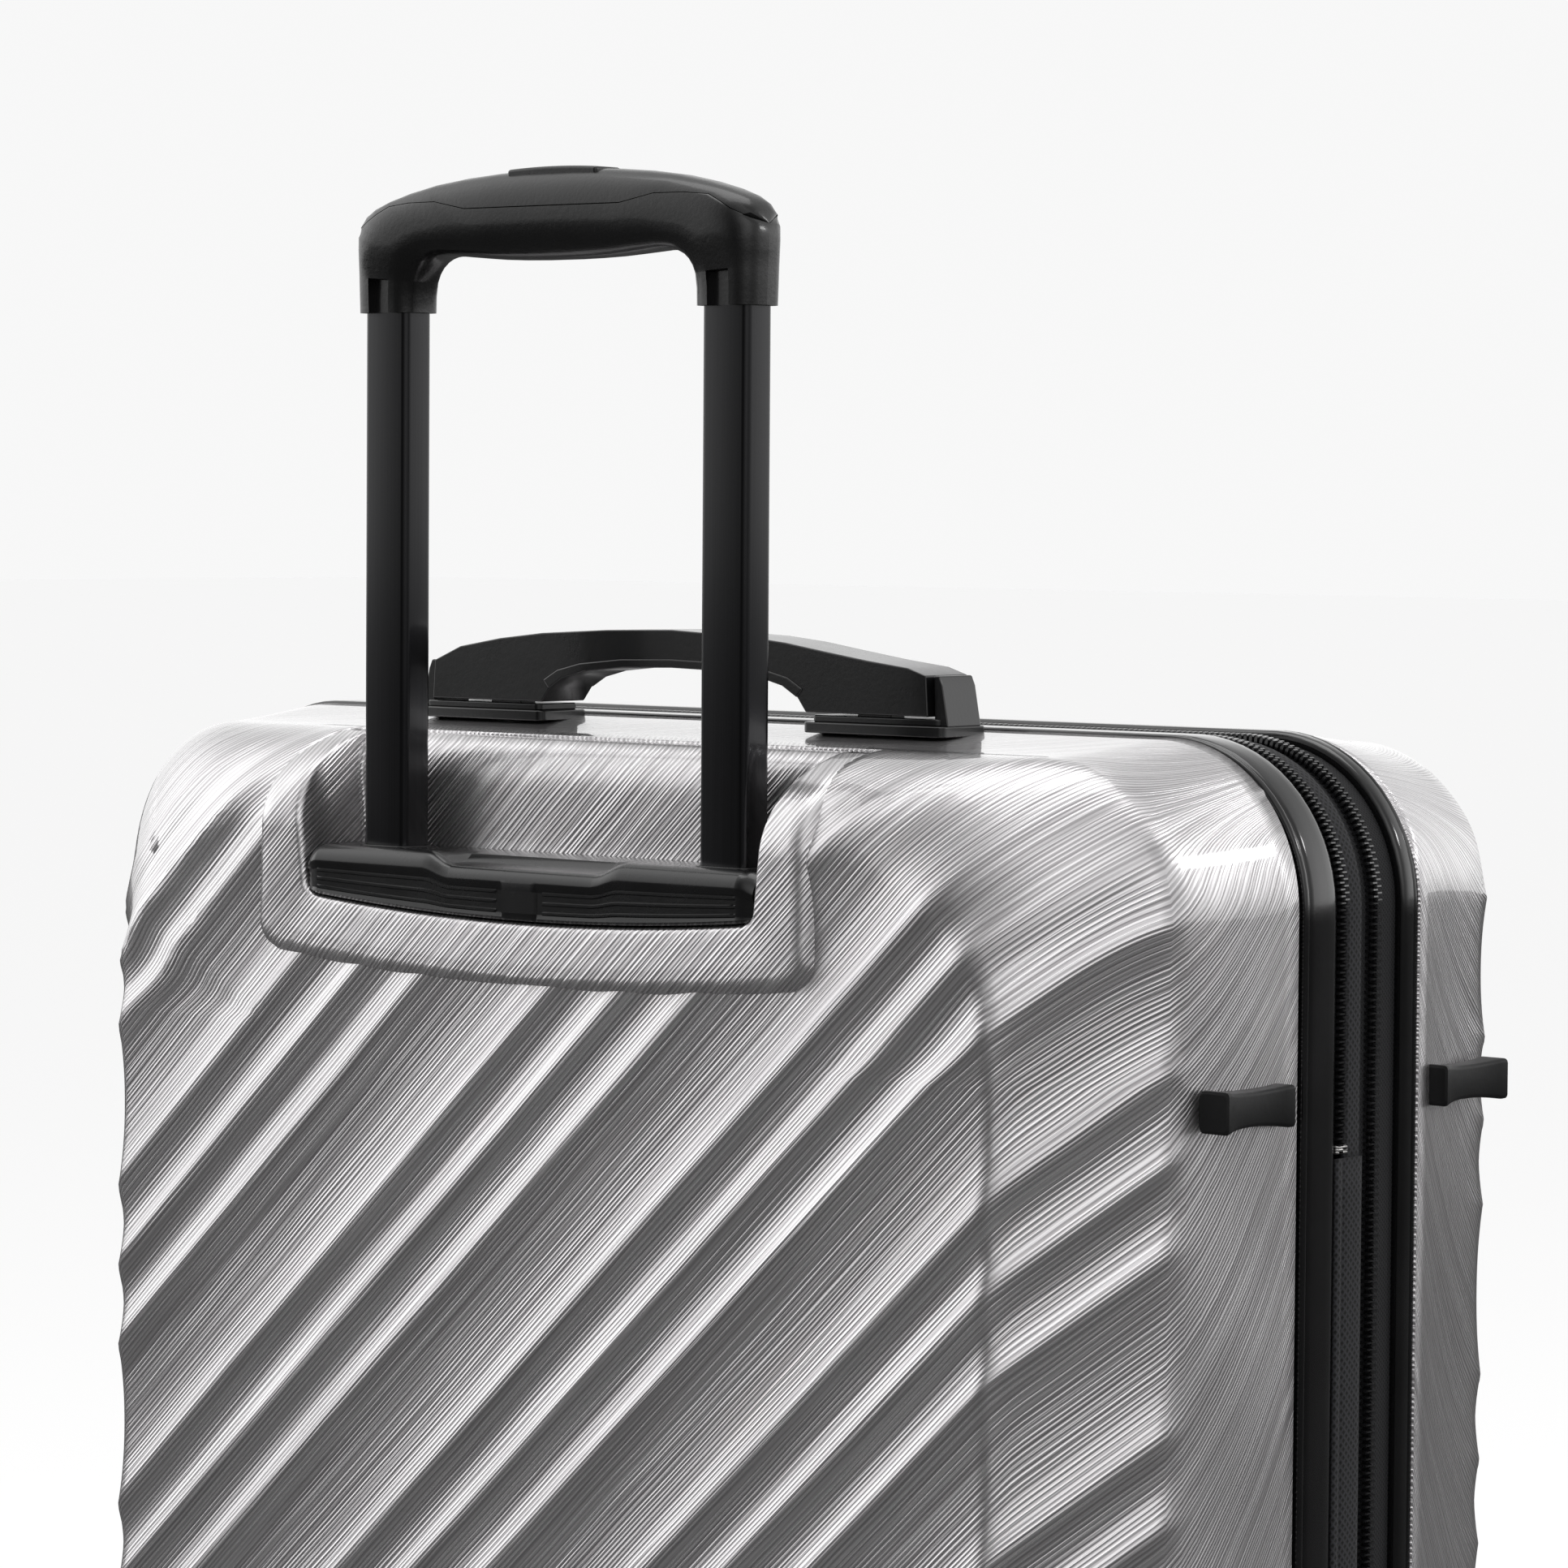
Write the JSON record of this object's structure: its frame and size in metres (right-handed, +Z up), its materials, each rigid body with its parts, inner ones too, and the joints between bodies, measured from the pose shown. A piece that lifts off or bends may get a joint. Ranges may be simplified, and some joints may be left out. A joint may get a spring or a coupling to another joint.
{
  "type": "hard shell suitcase",
  "caption": "Upright hard shell suitcase with diagonal ribs, telescopic trolley handle, zip rim, carry handles, standing feet and swivelling twin wheels.",
  "frame": {"origin": "on the floor under the middle of the case, at the bottom centre of the bounding box", "axes": "+Z up, -Y is the side with the trolley handle, +X is the hinge side with the standing feet"},
  "size_m": [0.5577, 0.284, 0.953],
  "materials": {
    "silver_shell": "brushed silver laminate under a clear gloss coat",
    "rim_plastic": "satin black extrusion",
    "zip_coil": "black nylon tape with glossy coil",
    "black_weave": "matt woven black tape",
    "lining_cloth": "dark grey woven lining",
    "strap_webbing": "ribbed webbing",
    "moulded_black": "fine grained satin black",
    "grip_black": "satin black, slightly soft",
    "tube_black": "black anodised",
    "bare_metal": "mill finish",
    "foot_rubber": "matt black rubber",
    "zip_metal": "black enamel",
    "dial_black": "satin black",
    "wheel_pu": "dark grey polyurethane tread on a black hub"
  },
  "bodies": {
    "back": {"back_shell": "silver_shell", "back_rim_trim": "rim_plastic", "main_zip_back": "zip_coil", "trolley_bezel": "moulded_black", "trolley_sleeves": "bare_metal", "trolley_foot": "moulded_black", "back_lining": "lining_cloth", "pack_straps": "strap_webbing", "buckle_socket": "moulded_black", "top_handle_base": "moulded_black", "side_handle_base": "moulded_black", "back_feet": "foot_rubber", "back_housings": "moulded_black", "lock_body": "moulded_black"},
    "buckle_plug": {"buckle_plug": "moulded_black"},
    "trolley": {"trolley_tubes": "tube_black", "tube_blocks": "moulded_black", "grip_body": "grip_black", "grip_cover": "grip_black"},
    "release": {"grip_button": "grip_black", "push_rods": "bare_metal"},
    "pin_left": {"lock_pin_l": "bare_metal"},
    "pin_right": {"lock_pin_r": "bare_metal"},
    "top_handle": {"top_handle": "grip_black"},
    "side_handle": {"side_handle": "grip_black"},
    "dial_1": {"lock_dial_1": "dial_black"},
    "dial_2": {"lock_dial_2": "dial_black"},
    "dial_3": {"lock_dial_3": "dial_black"},
    "lock_button": {"lock_button": "bare_metal"},
    "hinge_tape": {"hinge_tape": "black_weave"},
    "lid": {"main_zip_lid": "zip_coil", "lid_band": "black_weave", "gusset": "black_weave", "zip_expander_lid": "zip_coil"},
    "front": {"front_shell": "silver_shell", "front_rim_trim": "rim_plastic", "zip_expander_front": "zip_coil", "front_lining": "lining_cloth", "front_feet": "foot_rubber", "front_housings": "moulded_black"},
    "slider_a": {"main_slider_a": "zip_metal"},
    "pull_a": {"main_pull_a": "zip_metal"},
    "slider_b": {"main_slider_b": "zip_metal"},
    "pull_b": {"main_pull_b": "zip_metal"},
    "exp_slider": {"exp_slider": "zip_metal"},
    "exp_pull": {"exp_pull": "zip_metal"},
    "caster_bl": {"caster_bl": "moulded_black"},
    "wheel_bl_a": {"wheel_bl_a": "wheel_pu"},
    "wheel_bl_b": {"wheel_bl_b": "wheel_pu"},
    "caster_br": {"caster_br": "moulded_black"},
    "wheel_br_a": {"wheel_br_a": "wheel_pu"},
    "wheel_br_b": {"wheel_br_b": "wheel_pu"},
    "caster_fl": {"caster_fl": "moulded_black"},
    "wheel_fl_a": {"wheel_fl_a": "wheel_pu"},
    "wheel_fl_b": {"wheel_fl_b": "wheel_pu"},
    "caster_fr": {"caster_fr": "moulded_black"},
    "wheel_fr_a": {"wheel_fr_a": "wheel_pu"},
    "wheel_fr_b": {"wheel_fr_b": "wheel_pu"}
  },
  "joints": [
    {"name": "trolley_slide", "type": "slide", "parent": "back", "child": "trolley", "axis": [0, 0, 1], "range_m": [-0.195, 0.15]},
    {"name": "button_press", "type": "slide", "parent": "trolley", "child": "release", "axis": [0, 0, -1], "range_m": [0, 0.004], "stiffness_N_per_m": 900, "springref_m": -0.003},
    {"name": "pin_left_draw", "type": "slide", "parent": "trolley", "child": "pin_left", "axis": [1, 0, 0], "range_m": [0, 0.003]},
    {"name": "pin_right_draw", "type": "slide", "parent": "trolley", "child": "pin_right", "axis": [-1, 0, 0], "range_m": [0, 0.003]},
    {"name": "top_handle_lift", "type": "slide", "parent": "back", "child": "top_handle", "axis": [0, 0, 1], "range_m": [0, 0.01], "stiffness_N_per_m": 400, "springref_m": -0.008},
    {"name": "side_handle_lift", "type": "slide", "parent": "back", "child": "side_handle", "axis": [-1, 0, 0], "range_m": [0, 0.01], "stiffness_N_per_m": 400, "springref_m": -0.008},
    {"name": "buckle_pull", "type": "slide", "parent": "back", "child": "buckle_plug", "axis": [1, 0, 0], "range_m": [0, 0.022]},
    {"name": "dial_1_turn", "type": "hinge", "parent": "back", "child": "dial_1", "pos_m": [-0.27, -0.045, 0.588], "axis": [0, 0, 1], "continuous": true},
    {"name": "dial_2_turn", "type": "hinge", "parent": "back", "child": "dial_2", "pos_m": [-0.27, -0.045, 0.6], "axis": [0, 0, 1], "continuous": true},
    {"name": "dial_3_turn", "type": "hinge", "parent": "back", "child": "dial_3", "pos_m": [-0.27, -0.045, 0.612], "axis": [0, 0, 1], "continuous": true},
    {"name": "lock_button_slide", "type": "slide", "parent": "back", "child": "lock_button", "axis": [0, 0, 1], "range_m": [0, 0.003], "stiffness_N_per_m": 150, "springref_m": -0.002},
    {"name": "tape_fold", "type": "hinge", "parent": "back", "child": "hinge_tape", "pos_m": [0.271, -0.009, 0.402], "axis": [0, 0, -1], "range_deg": [0, 90]},
    {"name": "lid_fold", "type": "hinge", "parent": "hinge_tape", "child": "lid", "pos_m": [0.271, 0.007, 0.402], "axis": [0, 0, -1], "range_deg": [0, 90]},
    {"name": "expand", "type": "slide", "parent": "lid", "child": "front", "axis": [0, 1, 0], "range_m": [0, 0.038]},
    {"name": "slider_a_run", "type": "slide", "parent": "back", "child": "slider_a", "axis": [0, 0, 1], "range_m": [0, 0.17]},
    {"name": "slider_b_run", "type": "slide", "parent": "back", "child": "slider_b", "axis": [0, 0, -1], "range_m": [0, 0.36]},
    {"name": "exp_slider_run", "type": "slide", "parent": "lid", "child": "exp_slider", "axis": [0, 0, 1], "range_m": [0, 0.53]},
    {"name": "pull_a_swing", "type": "hinge", "parent": "slider_a", "child": "pull_a", "pos_m": [-0.27115, -0.005, 0.52], "axis": [0, 1, 0], "range_deg": [0, 150]},
    {"name": "pull_b_swing", "type": "hinge", "parent": "slider_b", "child": "pull_b", "pos_m": [-0.27115, -0.005, 0.478], "axis": [0, 1, 0], "range_deg": [0, 150]},
    {"name": "exp_pull_swing", "type": "hinge", "parent": "exp_slider", "child": "exp_pull", "pos_m": [-0.27115, 0.0145, 0.16], "axis": [0, 1, 0], "range_deg": [0, 150]},
    {"name": "swivel_bl", "type": "hinge", "parent": "back", "child": "caster_bl", "pos_m": [-0.2, -0.095, 0.053], "axis": [0, 0, 1], "continuous": true},
    {"name": "roll_bl_a", "type": "hinge", "parent": "caster_bl", "child": "wheel_bl_a", "pos_m": [-0.20795, -0.109, 0.025], "axis": [1, 0, 0], "continuous": true},
    {"name": "roll_bl_b", "type": "hinge", "parent": "caster_bl", "child": "wheel_bl_b", "pos_m": [-0.19205, -0.109, 0.025], "axis": [1, 0, 0], "continuous": true},
    {"name": "swivel_br", "type": "hinge", "parent": "back", "child": "caster_br", "pos_m": [0.2, -0.095, 0.053], "axis": [0, 0, 1], "continuous": true},
    {"name": "roll_br_a", "type": "hinge", "parent": "caster_br", "child": "wheel_br_a", "pos_m": [0.19205, -0.109, 0.025], "axis": [1, 0, 0], "continuous": true},
    {"name": "roll_br_b", "type": "hinge", "parent": "caster_br", "child": "wheel_br_b", "pos_m": [0.20795, -0.109, 0.025], "axis": [1, 0, 0], "continuous": true},
    {"name": "swivel_fl", "type": "hinge", "parent": "front", "child": "caster_fl", "pos_m": [-0.2, 0.1, 0.053], "axis": [0, 0, 1], "continuous": true},
    {"name": "roll_fl_a", "type": "hinge", "parent": "caster_fl", "child": "wheel_fl_a", "pos_m": [-0.20795, 0.086, 0.025], "axis": [1, 0, 0], "continuous": true},
    {"name": "roll_fl_b", "type": "hinge", "parent": "caster_fl", "child": "wheel_fl_b", "pos_m": [-0.19205, 0.086, 0.025], "axis": [1, 0, 0], "continuous": true},
    {"name": "swivel_fr", "type": "hinge", "parent": "front", "child": "caster_fr", "pos_m": [0.2, 0.1, 0.053], "axis": [0, 0, 1], "continuous": true},
    {"name": "roll_fr_a", "type": "hinge", "parent": "caster_fr", "child": "wheel_fr_a", "pos_m": [0.19205, 0.086, 0.025], "axis": [1, 0, 0], "continuous": true},
    {"name": "roll_fr_b", "type": "hinge", "parent": "caster_fr", "child": "wheel_fr_b", "pos_m": [0.20795, 0.086, 0.025], "axis": [1, 0, 0], "continuous": true}
  ],
  "couplings": [
    {"joint": "pin_left_draw", "follows": "button_press", "ratio": 0.75},
    {"joint": "pin_right_draw", "follows": "button_press", "ratio": 0.75},
    {"joint": "tape_fold", "follows": "lid_fold", "ratio": 1}
  ]
}
